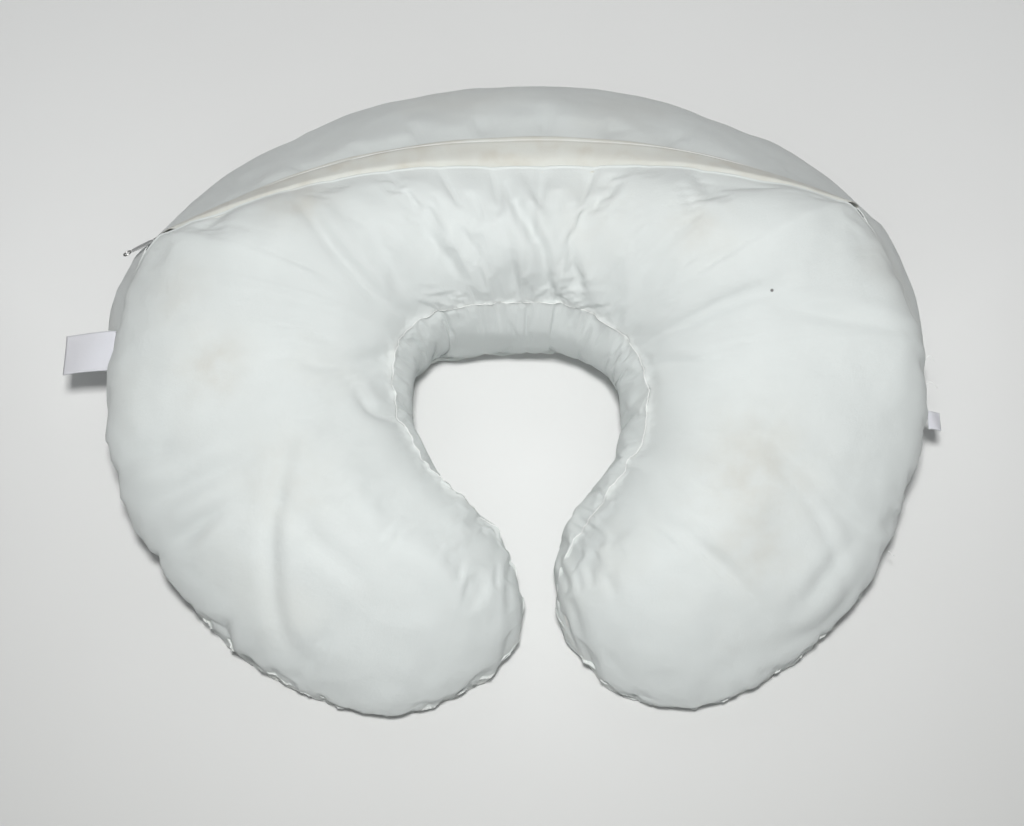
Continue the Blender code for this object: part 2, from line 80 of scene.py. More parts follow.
# rise, crown, fall, drop, turn, shoulder, bulge, foot, heel, hem, belly, rest: the same
# shape numbers of the cross-section as the part has, at these sections
SHAPE_AT = [0, 1, 2, 4, 7, 9, 10, 11, 12, 13, 14, 15, 17, 20, 22, 23, 24]
SHAPE = [
    (60, .50, 60, .50, 115,  3,  0,  -3,  3, .80,  1, .35),
    (58, .50, 66, .50, 115,  8,  0,  -9,  8, .50,  2, .85),
    (56, .50, 70, .48, 115, 11,  0, -14, 14, .30,  3, 1.0),
    (52, .42, 72, .40, 115, 14,  0, -14, 15, .22,  4, 1.0),
    (56, .33, 78, .34,  92, 25,  3, -24, 16, .18,  8, 1.0),
    (60, .36, 62, .24,  62, 38, 36,   4, 18, .16,  8, 1.0),
    (62, .42, 42, .26,  42, 50, 76,  32, 20, .15,  8, 1.0),
    (62, .52, 26, .30,  26, 58, 93,  48, 20, .15,  8, 1.0),
    (62, .66, 18, .30,  18, 58, 97,  52, 22, .15,  8, 1.0),
    (62, .56, 22, .30,  22, 57, 94,  50, 20, .15,  8, 1.0),
    (62, .42, 40, .28,  40, 52, 81,  36, 20, .15,  9, 1.0),
    (60, .36, 60, .24,  60, 42, 42,   4, 18, .16, 10, 1.0),
    (56, .33, 78, .34,  92, 25,  3, -24, 16, .18, 12, 1.0),
    (52, .42, 72, .40, 115, 14,  0, -14, 15, .22, 14, 1.0),
    (56, .50, 70, .48, 115, 11,  0, -14, 14, .30, 15, 1.0),
    (58, .50, 66, .50, 115,  8,  0,  -9,  8, .50, 13, .85),
    (60, .50, 60, .50, 115,  3,  0,  -3,  3, .80,  4, .35)]

# ---------------------------------------------------------------- how fine the cloth is
ROWS = 481
TOP_COLUMNS, WALL_COLUMNS, BASE_COLUMNS, GUSSET_COLUMNS = 72, 56, 26, 34
TIP_ROWS = 5                                # extra rows that close each arm's tip
SIM_ROWS, SIM_SHARE = 201, 2                # cloth rows, and every second column
SIM_FRAMES = 20                             # frames the simulation runs for
SIM_INSET = 1.5                             # mm inside the cover that it starts
RESTING = 3 * MM                            # below this height the cover lies on the floor
CASING_DEPTH = 7 * MM                       # how deep the casing lies under the cover
SWELL = 3 * MM                              # the most that the simulation may move a point


# ---------------------------------------------------------------- small helpers
def smooth_row(rows, at):
    """Catmull-Rom interpolation down the columns of `rows` at the row number `at`."""
    rows = np.asarray(rows, float)
    last = len(rows) - 1
    low = int(min(max(np.floor(at), 0), last - 1))
    t = at - low
    b, c = rows[low], rows[low + 1]
    a = rows[low - 1] if low > 0 else 2 * b - c
    d = rows[low + 2] if low + 2 <= last else 2 * c - b
    return 0.5 * (2 * b + (c - a) * t + (2 * a - 5 * b + 4 * c - d) * t ** 2
                  + (3 * b - a - 3 * c + d) * t ** 3)


def bezier(a, b, c, d, count):
    """Cubic curve from a to d in `count` steps, drawn toward b and c."""
    t = np.linspace(0, 1, count + 1)[:, None]
    return ((1 - t) ** 3 * np.asarray(a) + 3 * (1 - t) ** 2 * t * np.asarray(b)
            + 3 * (1 - t) * t ** 2 * np.asarray(c) + t ** 3 * np.asarray(d))


def direction(degrees_down):
    """Outward and upward parts of a step that slopes down by an angle."""
    angle = radians(degrees_down)
    return np.array([cos(angle), -sin(angle)])


def unit(vectors):
    return vectors / np.linalg.norm(vectors, axis=-1, keepdims=True)


def smooth_step(low, high, value):
    t = np.clip((np.asarray(value, float) - low) / (high - low), 0, 1)
    return t * t * (3 - 2 * t)


def lengths(points):
    """Running length along a polyline."""
    steps = np.linalg.norm(np.diff(points, axis=0), axis=-1)
    return np.concatenate([[0], np.cumsum(steps)])


def resample(points, shares):
    """Points at shares of a polyline's length."""
    run = lengths(points)
    return np.column_stack([np.interp(shares * run[-1], run, points[:, k])
                            for k in range(points.shape[1])])


def crowded_ends(count, amount=0.55):
    """Shares from 0 to 1 that lie closer together near both ends."""
    t = np.linspace(0, 1, count + 1)
    return t - amount * np.sin(2 * pi * t) / (2 * pi)


# ---------------------------------------------------------------- outline of the cover
def arc_point(azimuth):
    """Point on the middle line of the zip."""
    x = ZIP_CENTRE[0] + ZIP_RADIUS * cos(azimuth)
    y = (ZIP_CENTRE[1] + ZIP_RADIUS * sin(azimuth)) * cos(ZIP_TILT)
    return np.array([x, y, ZIP_HEIGHT + ZIP_SLOPE * y]) - CENTRE


def zip_azimuth(section):
    share = (section - ZIP_FIRST) / (ZIP_LAST - ZIP_FIRST)
    return ZIP_START + (ZIP_END - ZIP_START) * share


def zip_share(section):
    """1 along the zip, falling to 0 over half a section past its ends."""
    return np.clip(np.minimum(section - ZIP_FIRST, ZIP_LAST - section) / 0.5 + 1, 0, 1)


OUTER_POINTS = [arc_point(zip_azimuth(p)) if isinstance(p, int)
                else np.array(p) * MM - CENTRE for p in OUTER_SEAM]
INNER_POINTS = [np.array(p) * MM - CENTRE for p in INNER_SEAM]


def outer_seam(section):
    if ZIP_FIRST <= section <= ZIP_LAST:
        return arc_point(zip_azimuth(section))
    return smooth_row(OUTER_POINTS, section)


def inner_seam(section):
    return smooth_row(INNER_POINTS, section)


def section_ring(section):
    """Closed outline of the cover at a section, evenly spaced within each panel."""
    (rise, crown, fall, drop, turn, shoulder, bulge, foot, heel, hem, belly,
     rest) = smooth_row(SHAPE, np.interp(section, SHAPE_AT, range(len(SHAPE_AT))))
    outer, inner = outer_seam(section), inner_seam(section)
    level = (outer - inner)[:2]
    width = np.linalg.norm(level)
    level = level / width
    top, seam = np.array([0, inner[2]]), np.array([width, outer[2]])
    floor = outer[2] * (1 - min(rest, 1))
    flat = 3 * MM + (STRIP - 3 * MM) * zip_share(section)
    down_in, down_out = direction(fall), direction(turn)

    start = seam + down_out * flat
    shoulder = min(shoulder * MM, 0.9 * (start[1] - floor) / sin(radians(turn)))
    foot_point = np.array([width + foot * MM, floor])
    t = np.linspace(0.2, 0.9, 15)
    plain = bezier(start, start + down_out * shoulder, foot_point, foot_point, 40)[:, 0]
    plain = np.interp(t, np.linspace(0, 1, 41), plain)
    reach = max(np.min((width + bulge * MM - plain) / (3 * (1 - t) * t ** 2)), 2 * MM)
    small = min(1, width / 0.05)
    hem_point = np.array([3 * MM * small, inner[2] * hem])
    heel_point = np.array([heel * MM, floor])
    middle = (hem_point + top) / 2 - [2 * belly * MM * small, 0]

    panel = bezier(top, top + crown * width * direction(-rise),
                   seam - down_in * (flat + drop * width), seam - down_in * flat, 90)
    wall = bezier(start, start + down_out * shoulder, foot_point + [reach, 0],
                  foot_point, 90)
    corner = bezier(heel_point, heel_point - [heel * MM / 2, 0],
                    hem_point - [2 * MM * small, 0.35 * (hem_point[1] - floor)],
                    hem_point, 20)
    gusset = bezier(hem_point, hem_point / 3 + middle * 2 / 3, middle * 2 / 3 + top / 3, top, 40)
    parts = [resample(np.vstack([panel, [seam]]), crowded_ends(TOP_COLUMNS))[:-1],
             resample(np.vstack([[seam], wall]), crowded_ends(WALL_COLUMNS))[:-1],
             resample(np.vstack([[foot_point], corner]), crowded_ends(BASE_COLUMNS))[:-1],
             resample(gusset, crowded_ends(GUSSET_COLUMNS))[:-1]]
    flat_ring = np.vstack(parts)
    return np.column_stack([inner[0] + level[0] * flat_ring[:, 0],
                            inner[1] + level[1] * flat_ring[:, 0], flat_ring[:, 1]])


SEAM_COLUMN = TOP_COLUMNS
FOOT_COLUMN = TOP_COLUMNS + WALL_COLUMNS
HEM_COLUMN = FOOT_COLUMN + BASE_COLUMNS
COLUMNS = HEM_COLUMN + GUSSET_COLUMNS


def spread_sections(count):
    """Section numbers whose mid-lines are evenly spaced along the arm."""
    fine = np.linspace(0, LAST, 1201)
    middle = np.array([0.6 * outer_seam(s) + 0.4 * inner_seam(s) for s in fine])
    run = lengths(middle)
    return np.interp(np.linspace(0, run[-1], count), run, fine)


SECTIONS = spread_sections(ROWS)


def ring_normals(rings):
    """Outward directions at every point of rings that close round the arm."""
    along = np.gradient(rings, axis=0)
    across = np.roll(rings, -1, axis=1) - np.roll(rings, 1, axis=1)
    normal = unit(np.cross(along, across) + 1e-12)
    return -normal if normal[:, 5, 2].mean() < 0 else normal


# ---------------------------------------------------------------- how the cloth lies
# Folds seen from above, in metres: (points, half-width, depth); a negative depth stands up.
FOLDS = [
    ([(-.132, .089), (-.104, .049), (-.079, .025), (-.061, .019)], .0045, .0030),
    ([(-.085, .067), (-.067, .037), (-.054, .025)], .0060, .0026),
    ([(-.051, .066), (-.039, .052), (-.020, .034)], .0042, .0030),
    ([(.002, .099), (.012, .076), (.024, .053), (.029, .037), (.039, .027)], .0038, .0038),
    ([(.005, .053), (.007, .035)], .0032, .0022),
    ([(.019, .095), (.027, .075)], .0040, .0015),
    ([(.041, .051), (.054, .027)], .0036, .0024),
    ([(.105, .057), (.083, .031)], .0060, .0024),
    ([(.111, .045), (.092, .025)], .0045, .0018),
    ([(.087, -.002), (.115, .006), (.148, .018), (.179, .025)], .0045, .0024),
    ([(.093, -.013), (.118, -.018), (.132, -.023)], .0032, .0018),
    ([(.159, .021), (.186, .010), (.235, .006), (.261, .005)], .0045, .0018),
    ([(-.125, -.017), (-.106, -.022), (-.080, -.012), (-.067, -.003)], .0042, .0026),
    ([(-.109, -.035), (-.088, -.024), (-.071, -.015)], .0036, .0022),
    ([(-.091, -.031), (-.079, -.045), (-.063, -.045)], .0034, .0026),
    ([(-.129, -.071), (-.139, -.111), (-.141, -.139), (-.138, -.168), (-.127, -.185)],
     .0050, .0030),
    ([(-.129, -.107), (-.108, -.129), (-.090, -.146)], .0050, .0016),
    ([(-.123, -.193), (-.106, -.173)], .0045, .0018),
    ([(-.166, -.101), (-.191, -.115), (-.215, -.122)], .0055, .0034),
    ([(-.156, -.079), (-.190, -.091), (-.227, -.097)], .0060, .0028),
    ([(-.201, -.067), (-.241, -.071)], .0060, .0024),
    ([(.103, -.117), (.128, -.134), (.157, -.157)], .0045, .0022),
    ([(.147, -.055), (.181, -.081), (.204, -.102), (.238, -.118)], .0048, .0022),
    ([(.141, -.095), (.105, -.125)], .0060, .0018),
    ([(.167, -.081), (.194, -.109), (.211, -.137)], .0042, .0018),
    ([(.187, -.153), (.209, -.129)], .0040, .0022),
    ([(.179, -.177), (.205, -.163), (.223, -.141)], .0042, .0022),
    ([(-.133, -.051), (-.102, -.080), (-.077, -.112), (-.047, -.134), (-.027, -.147)],
     .0100, -.0022),
]
SEED = 7
SIDE_ROUND = 8 * MM                         # how far the top panel rounds out over its seam
# the share of that rounding at these sections
SIDE_AT = [0, 2, 4.5, 6, 7.8, 9.1, 14.9, 16.2, 18, 19.5, 22, 24]
SIDE_SHARE = [0, .25, .35, 1, 1, 0, 0, 1, 1, .35, .25, 0]


def wave_noise(run, shortest, longest, count, seed):
    """Sums of waves along a seam: rows of (wavelength, values at each running length)."""
    chance = np.random.default_rng(seed)
    rows = []
    for wavelength in np.geomspace(shortest, longest, count):
        phase = chance.uniform(0, 2 * pi)
        drift = chance.uniform(0.5, 1.5) * np.sin(2 * pi * run / (wavelength * 7.3) + phase * 3)
        swell = 0.6 + 0.4 * np.sin(2 * pi * run / (wavelength * 4.1) + phase * 5)
        rows.append((wavelength, swell * np.cos(2 * pi * run / wavelength + phase + drift)))
    return rows


def gathers(run, away, shortest, longest, size, seed):
    """Puckers that start at a seam and die out over a distance like their own length."""
    total = np.zeros_like(away)
    for wavelength, values in wave_noise(run, shortest, longest, 7, seed):
        total += size * (wavelength / longest) ** 0.7 * values[:, None] * np.exp(
            -away / (0.75 * wavelength))
    return total


def crease(points, rings, half_width, depth):
    """Height of one fold at each ring point, from its distance in plan to a polyline."""
    path = resample(np.array([smooth_row(points, t) for t in
                              np.linspace(0, len(points) - 1, 12 * len(points))]),
                    np.linspace(0, 1, 40))
    flat = rings[..., :2].reshape(-1, 2)
    near = np.all((flat > path.min(0) - 5 * half_width) & (flat < path.max(0) + 5 * half_width),
                  axis=1)
    gap = flat[near][:, None, :] - path[None]
    distance = np.linalg.norm(gap, axis=2)
    at = distance.argmin(axis=1)
    forward = unit(np.gradient(path, axis=0))
    offset = gap[np.arange(len(at)), at]
    side = forward[at, 0] * offset[:, 1] - forward[at, 1] * offset[:, 0]
    share = at / (len(path) - 1)
    past = np.abs((offset * forward[at]).sum(axis=1))
    fade = np.sin(pi * np.clip(share * 0.9 + 0.05, 0, 1)) ** 0.6 * np.exp(
        -(past / (2.5 * half_width)) ** 2)
    x = side / half_width
    profile = -np.exp(-x ** 2) + 0.55 * np.exp(-((x - 2.1) / 1.3) ** 2) + 0.3 * np.exp(
        -((x + 2.3) / 1.5) ** 2)
    height = np.zeros(len(flat))
    height[near] = depth * profile * fade
    return height.reshape(rings.shape[:2])


def lumps(rings, size, seed):
    """Soft unevenness of the filling: smooth noise in space, between about -1 and 1."""
    values = [noise.noise(Vector(p) / size + Vector((seed, 0, 0)))
              for p in rings.reshape(-1, 3)]
    return np.array(values).reshape(rings.shape[:2]) * 2


def away_from(rings, column, first, last):
    """Distance along each ring from one column, for the columns first to last, else far."""
    count = rings.shape[1]
    closed = np.concatenate([rings, rings[:, :1]], axis=1)
    steps = np.linalg.norm(np.diff(closed, axis=1), axis=2)
    run = np.concatenate([np.zeros((len(rings), 1)), np.cumsum(steps, axis=1)], axis=1)
    distance = np.full(rings.shape[:2], 1.0)
    for j in range(first, last + 1):
        distance[:, j % count] = np.abs(run[:, j] - run[:, column])
    return distance


def simulate(rings, normals):
    """Displacement of the cover when the filling presses it out between its seams."""
    picked = np.linspace(0, ROWS - 1, SIM_ROWS).round().astype(int)
    columns = np.arange(0, COLUMNS, SIM_SHARE)
    start = (rings - normals * SIM_INSET * MM)[picked][:, columns]
    rows, count = start.shape[:2]
    faces = [(i * count + j, (i + 1) * count + j,
              (i + 1) * count + (j + 1) % count, i * count + (j + 1) % count)
             for i in range(rows - 1) for j in range(count)]
    mesh = bpy.data.meshes.new("cloth_work")
    mesh.from_pydata([tuple(p) for p in start.reshape(-1, 3)], [], faces)
    work = bpy.data.objects.new("cloth_work", mesh)
    bpy.context.scene.collection.objects.link(work)
    held = work.vertex_groups.new(name="held")
    seams = {0, SEAM_COLUMN // SIM_SHARE, HEM_COLUMN // SIM_SHARE}
    for i in range(rows):
        for j in range(count):
            low = start[i, j, 2] < RESTING
            if j in seams or low or i in (0, rows - 1):
                held.add([i * count + j], 1.0, "REPLACE")
    cloth = work.modifiers.new("Cloth", "CLOTH")
    settings = cloth.settings
    settings.quality = 6
    settings.mass = 0.2
    settings.tension_stiffness = 20
    settings.compression_stiffness = 12
    settings.shear_stiffness = 6
    settings.bending_stiffness = 0.08
    settings.shrink_min = -0.045
    settings.use_pressure = True
    settings.uniform_pressure_force = 4
    settings.effector_weights.gravity = 0
    settings.vertex_group_mass = "held"
    cloth.collision_settings.use_collision = False
    cloth.point_cache.frame_start, cloth.point_cache.frame_end = 1, SIM_FRAMES
    scene = bpy.context.scene
    for number in range(1, SIM_FRAMES + 1):
        scene.frame_set(number)
    moved = work.evaluated_get(bpy.context.evaluated_depsgraph_get()).to_mesh()
    end = np.empty(len(moved.vertices) * 3)
    moved.vertices.foreach_get("co", end)
    end = end.reshape(start.shape)
    scene.frame_set(1)
    bpy.data.objects.remove(work, do_unlink=True)
    shift = end - rings[picked][:, columns]
    size = np.linalg.norm(shift, axis=2, keepdims=True)
    shift *= np.minimum(1, SWELL / (size + 1e-9))
    across = np.empty((rows, COLUMNS, 3))
    for i in range(rows):
        for k in range(3):
            across[i, :, k] = np.interp(np.arange(COLUMNS), np.append(columns, COLUMNS),
                                        np.append(shift[i, :, k], shift[i, 0, k]))
    full = np.empty(rings.shape)
    for j in range(COLUMNS):
        for k in range(3):
            full[:, j, k] = np.interp(np.arange(ROWS), picked, across[:, j, k])
    return full


# ---------------------------------------------------------------- the zip's strip
# Edge of the upper panel's fold beside the zip, in metres before the zip's middle, and
# the stitch line behind it, at these sections.
FOLD_AT = [9, 9.7, 10.4, 11.2, 12, 12.8, 13.6, 14.4, 15]
FOLD_EDGE = [.0150, .0120, .0095, .0100, .0140, .0140, .0105, .0100, .0130]
STITCH_LINE = [.0080, .0120, .0135, .0100, .0060, .0060, .0100, .0120, .0090]
LAP_HEM = 4.5 * MM                          # from the stitch line to the lap's outer edge
LAP_START = 9.16                            # section where the lap begins, past the slider
STRIP_LIFT = 3.6 * MM                       # how high the cover stands beside the zip
LAP_CROWN = 6.5 * MM                        # height of the lap's outer face over the zip


def fold_edge(section):
    """Distance from the zip's middle to the top panel's folded edge."""
    return np.interp(section, FOLD_AT, FOLD_EDGE)


def stitch_line(section):
    """Distance from the zip's middle to the lap's stitches, on the wall's side."""
    return np.interp(section, FOLD_AT, STITCH_LINE)


def strip_point(section, across, lift):
    """Point at a distance across the zip, lifted off the straight strip beside it."""
    shape = smooth_row(SHAPE, np.interp(section, SHAPE_AT, range(len(SHAPE_AT))))
    outer, inner = outer_seam(section), inner_seam(section)
    level = np.append(unit((outer - inner)[:2]), 0)
    down = direction(shape[2] if across < 0 else shape[4])
    up = np.array([0, 0, 1])
    return (outer + (level * down[0] + up * down[1]) * across
            + (up * down[0] - level * down[1]) * lift)


def lap_height(across):
    """Height of the lap's outer face: an arch that leaves room for the slider."""
    share = np.clip(abs(across) / .0125, 0, 1)
    return STRIP_LIFT + 0.7 * MM + (LAP_CROWN - STRIP_LIFT - 0.7 * MM) * (1 - share ** 4)


# ---------------------------------------------------------------- meshes
CLOTH_THICKNESS = 0.8 * MM
THREAD_SIDES = 5


def add_mesh(name, verts, faces, material, uvs=None, values=None, body="pillow"):
    """Smooth mesh that rides on a body; uvs and values are given per vertex."""
    mesh = bpy.data.meshes.new(name)
    mesh.from_pydata([tuple(map(float, v)) for v in verts], [], faces)
    mesh.shade_smooth()
    if uvs is not None:
        corners = np.empty(len(mesh.loops), int)
        mesh.loops.foreach_get("vertex_index", corners)
        mesh.uv_layers.new(name="cloth").data.foreach_set(
            "uv", np.asarray(uvs, float)[corners].astype("f").ravel())
    for key, numbers in (values or {}).items():
        mesh.attributes.new(key, "FLOAT", "POINT").data.foreach_set(
            "value", np.asarray(numbers, float).astype("f").ravel())
    piece = bpy.data.objects.new(name, mesh)
    mesh.materials.append(material)
    bpy.context.scene.collection.objects.link(piece)
    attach(piece, body)
    return piece


def grid_faces(rows, cols):
    return [(i * cols + j, (i + 1) * cols + j, (i + 1) * cols + j + 1, i * cols + j + 1)
            for i in range(rows - 1) for j in range(cols - 1)]


def cloth_grid(name, grid, material, soil_and_shade=None, thickness=CLOTH_THICKNESS, body="pillow"):
    """Sheet of cloth through a grid of points, with a weave that runs along it."""
    rows, cols = grid.shape[:2]
    middle = grid[:, cols // 2]
    u = np.repeat(lengths(middle)[:, None], cols, axis=1)
    steps = np.linalg.norm(np.diff(grid, axis=1), axis=2)
    v = np.concatenate([np.zeros((rows, 1)), np.cumsum(steps, axis=1)], axis=1)
    uvs = np.stack([u, v], axis=2).reshape(-1, 2)
    soil_and_shade = np.zeros(grid.shape[:2]) if soil_and_shade is None else soil_and_shade
    piece = add_mesh(name, grid.reshape(-1, 3), grid_faces(rows, cols), material, uvs,
                     {"soil_and_shade": soil_and_shade}, body)
    thick = piece.modifiers.new("thickness", "SOLIDIFY")
    thick.thickness = thickness
    thick.offset = -1
    return piece


def thread_along(name, path, radius, material, body="pillow"):
    """Thread with round sides and closed ends along a path."""
    sides, count = THREAD_SIDES, len(path)
    tangents = unit(np.gradient(path, axis=0))
    verts, faces = [], []
    side = unit(np.cross(tangents[0], [0.13, 0.21, 1.0]))
    for point, tangent in zip(path, tangents):
        side = unit(side - tangent * side.dot(tangent))
        up = np.cross(tangent, side)
        verts += [point + radius * (side * cos(a) + up * sin(a))
                  for a in np.arange(sides) * 2 * pi / sides]
    for i in range(count - 1):
        for j in range(sides):
            m = (j + 1) % sides
            faces.append((i * sides + j, i * sides + m, (i + 1) * sides + m, (i + 1) * sides + j))
    faces.append(tuple(range(sides))[::-1])
    faces.append(tuple((count - 1) * sides + j for j in range(sides)))
    return add_mesh(name, verts, faces, material, body=body)


# ---------------------------------------------------------------- materials
class Shader:
    """A Principled material and short ways to add nodes to it."""

    def __init__(self, name, colour, roughness, metallic=0.0):
        self.material = bpy.data.materials.new(name)
        self.material.use_nodes = True
        self.tree = self.material.node_tree
        self.surface = self.tree.nodes["Principled BSDF"]
        self.surface.inputs["Base Color"].default_value = (*colour, 1)
        self.surface.inputs["Roughness"].default_value = roughness
        self.surface.inputs["Metallic"].default_value = metallic
        self.place = self.node("ShaderNodeTexCoord").outputs["Object"]

    def node(self, kind, **settings):
        made = self.tree.nodes.new(kind)
        for key, value in settings.items():
            setattr(made, key, value)
        return made

    def link(self, source, target):
        self.tree.links.new(source, target)

    def noise(self, scale, detail):
        made = self.node("ShaderNodeTexNoise")
        made.inputs["Scale"].default_value = scale
        made.inputs["Detail"].default_value = detail
        self.link(self.place, made.inputs["Vector"])
        return made.outputs["Fac"]

    def remap(self, source, low, high, to_low, to_high):
        made = self.node("ShaderNodeMapRange", clamp=True)
        for key, value in zip(("From Min", "From Max", "To Min", "To Max"),
                              (low, high, to_low, to_high)):
            made.inputs[key].default_value = value
        self.link(source, made.inputs["Value"])
        return made.outputs["Result"]

    def math(self, operation, first, second):
        made = self.node("ShaderNodeMath", operation=operation)
        self.link(first, made.inputs[0])
        self.link(second, made.inputs[1])
        return made.outputs[0]

    def mix(self, factor, first, second):
        made = self.node("ShaderNodeMix", data_type="RGBA")
        self.link(factor, made.inputs["Factor"])
        for socket, value in ((made.inputs[6], first), (made.inputs[7], second)):
            if isinstance(value, tuple):
                socket.default_value = value
            else:
                self.link(value, socket)
        return made.outputs[2]

    def bump(self, height, distance):
        made = self.node("ShaderNodeBump")
        made.inputs["Distance"].default_value = distance
        self.link(height, made.inputs["Height"])
        old = self.surface.inputs["Normal"]
        if old.is_linked:
            self.link(old.links[0].from_socket, made.inputs["Normal"])
        self.link(made.outputs["Normal"], old)

    def finish_colour(self, colour):
        self.link(colour, self.surface.inputs["Base Color"])
        return self.material


def weave(shader, pitch):
    """Plain weave: raised threads that cross along the cloth's two directions."""
    uv = shader.node("ShaderNodeUVMap", uv_map="cloth").outputs["UV"]
    waves = []
    for way in ("X", "Y"):
        wave = shader.node("ShaderNodeTexWave", bands_direction=way)
        wave.inputs["Scale"].default_value = 2 * pi / (20 * pitch)
        wave.inputs["Distortion"].default_value = 0.6
        wave.inputs["Detail Scale"].default_value = 0.3
        shader.link(uv, wave.inputs["Vector"])
        waves.append(wave.outputs["Fac"])
    return shader.math("MULTIPLY", *waves)


def cloth_material(name, colour, pitch, soil_and_shade_colour=(0.50, 0.45, 0.36), sheen=0.25,
                   specks=()):
    shader = Shader(name, colour, 0.9)
    shader.surface.inputs["Sheen Weight"].default_value = sheen
    shader.surface.inputs["Sheen Roughness"].default_value = 0.5
    shader.surface.inputs["Specular IOR Level"].default_value = 0.2
    threads = weave(shader, pitch)
    grain = shader.noise(700, 3)
    cloud = shader.noise(14, 3)
    fine_cloud = shader.noise(70, 4)
    dark = tuple(0.93 * c for c in colour)
    tone = shader.mix(shader.remap(cloud, 0.35, 0.7, 0, 1), (*dark, 1), (*colour, 1))
    tone = shader.mix(shader.remap(grain, 0.3, 0.7, 0.25, 0), tone, (*dark, 1))
    # This mask darkens the cloth toward a brownish colour: real stains and dirt, and painted shade
    # along the seams, near the floor and in the lap's stitch groove.
    soil_and_shade = shader.node("ShaderNodeAttribute", attribute_name="soil_and_shade").outputs["Fac"]
    patchy = shader.math("MULTIPLY", soil_and_shade, shader.remap(fine_cloud, 0.35, 0.65, 0.35, 1.0))
    faint = shader.remap(shader.noise(9, 5), 0.56, 0.78, 0.0, 0.16)
    tone = shader.mix(shader.math("MAXIMUM", patchy, faint), tone, (*soil_and_shade_colour, 1))
    for point, size in specks:
        gap = shader.node("ShaderNodeVectorMath", operation="DISTANCE")
        gap.inputs[1].default_value = point
        shader.link(shader.place, gap.inputs[0])
        spot = shader.remap(gap.outputs["Value"], size * 0.6, size, 0.8, 0.0)
        tone = shader.mix(spot, tone, (0.05, 0.04, 0.04, 1))
    shader.link(shader.remap(grain, 0.2, 0.8, 0.82, 0.97), shader.surface.inputs["Roughness"])
    shader.bump(threads, 0.12 * MM)
    shader.bump(grain, 0.10 * MM)
    shader.bump(fine_cloud, 0.5 * MM)
    return shader.finish_colour(tone)


def fibre_material():
    shader = Shader("loose_fibre", (0.86, 0.86, 0.84), 1.0)
    shader.surface.inputs["Sheen Weight"].default_value = 0.4
    tufts = shader.noise(60, 6)
    strands = shader.noise(600, 4)
    shader.bump(tufts, 2 * MM)
    shader.bump(strands, 0.4 * MM)
    return shader.finish_colour(shader.mix(tufts, (0.78, 0.78, 0.75, 1), (0.9, 0.9, 0.88, 1)))


def ticking_material():
    shader = Shader("casing_ticking", (0.80, 0.80, 0.78), 0.92)
    grain = shader.noise(900, 3)
    slubs = shader.noise(120, 3)
    shader.bump(grain, 0.1 * MM)
    shader.bump(slubs, 0.2 * MM)
    return shader.finish_colour(shader.mix(slubs, (0.75, 0.75, 0.72, 1), (0.84, 0.84, 0.82, 1)))


def thread_material():
    shader = Shader("thread", (0.86, 0.88, 0.87), 0.65)
    shader.surface.inputs["Sheen Weight"].default_value = 0.3
    twist = shader.noise(2500, 2)
    shader.bump(twist, 0.05 * MM)
    return shader.finish_colour(shader.mix(twist, (0.80, 0.82, 0.81, 1), (0.92, 0.93, 0.92, 1)))


def tape_material():
    shader = Shader("zip_tape_weave", (0.70, 0.72, 0.71), 0.8)
    ribs = shader.noise(1500, 2)
    dirt = shader.noise(80, 4)
    shader.bump(ribs, 0.08 * MM)
    return shader.finish_colour(shader.mix(dirt, (0.58, 0.59, 0.57, 1), (0.78, 0.80, 0.79, 1)))


def coil_material():
    shader = Shader("zip_nylon", (0.78, 0.79, 0.78), 0.4)
    turns = shader.noise(1300, 1)
    shader.bump(turns, 0.15 * MM)
    return shader.finish_colour(shader.mix(turns, (0.62, 0.63, 0.62, 1), (0.84, 0.85, 0.84, 1)))


def metal_material():
    shader = Shader("zip_worn_metal", (0.42, 0.42, 0.41), 0.35, 1.0)
    wear = shader.noise(500, 4)
    shader.link(shader.remap(wear, 0.3, 0.7, 0.25, 0.55), shader.surface.inputs["Roughness"])
    shader.bump(wear, 0.04 * MM)
    return shader.finish_colour(shader.mix(wear, (0.28, 0.28, 0.27, 1), (0.55, 0.55, 0.54, 1)))


def pull_material():
    shader = Shader("pull_resin", (0.40, 0.41, 0.41), 0.45)
    shader.surface.inputs["Transmission Weight"].default_value = 0.25
    cloud = shader.noise(300, 3)
    shader.bump(cloud, 0.05 * MM)
    return shader.finish_colour(shader.mix(cloud, (0.33, 0.34, 0.34, 1), (0.52, 0.53, 0.53, 1)))


def floor_material():
    shader = Shader("backdrop_paper", (0.74, 0.75, 0.745), 0.9)
    cloud = shader.noise(2.5, 3)
    fibre = shader.noise(60, 4)
    shader.bump(cloud, 4 * MM)
    shader.bump(fibre, 0.2 * MM)
    paper = shader.mix(cloud, (0.72, 0.725, 0.72, 1), (0.80, 0.81, 0.805, 1))
    # Painted light fall-off: the paper is painted darker with distance from a point just behind
    # the pillow, toward the front and the sides, in place of the lamps' fall-off.
    spread = shader.node("ShaderNodeVectorMath", operation="DISTANCE")
    spread.inputs[1].default_value = (0, 0.45, 0)
    shader.link(shader.place, spread.inputs[0])
    painted_light_falloff = shader.remap(spread.outputs["Value"], 0.50, 0.86, 0.0, 0.9)
    return shader.finish_colour(shader.mix(painted_light_falloff, paper, (0.50, 0.505, 0.495, 1)))


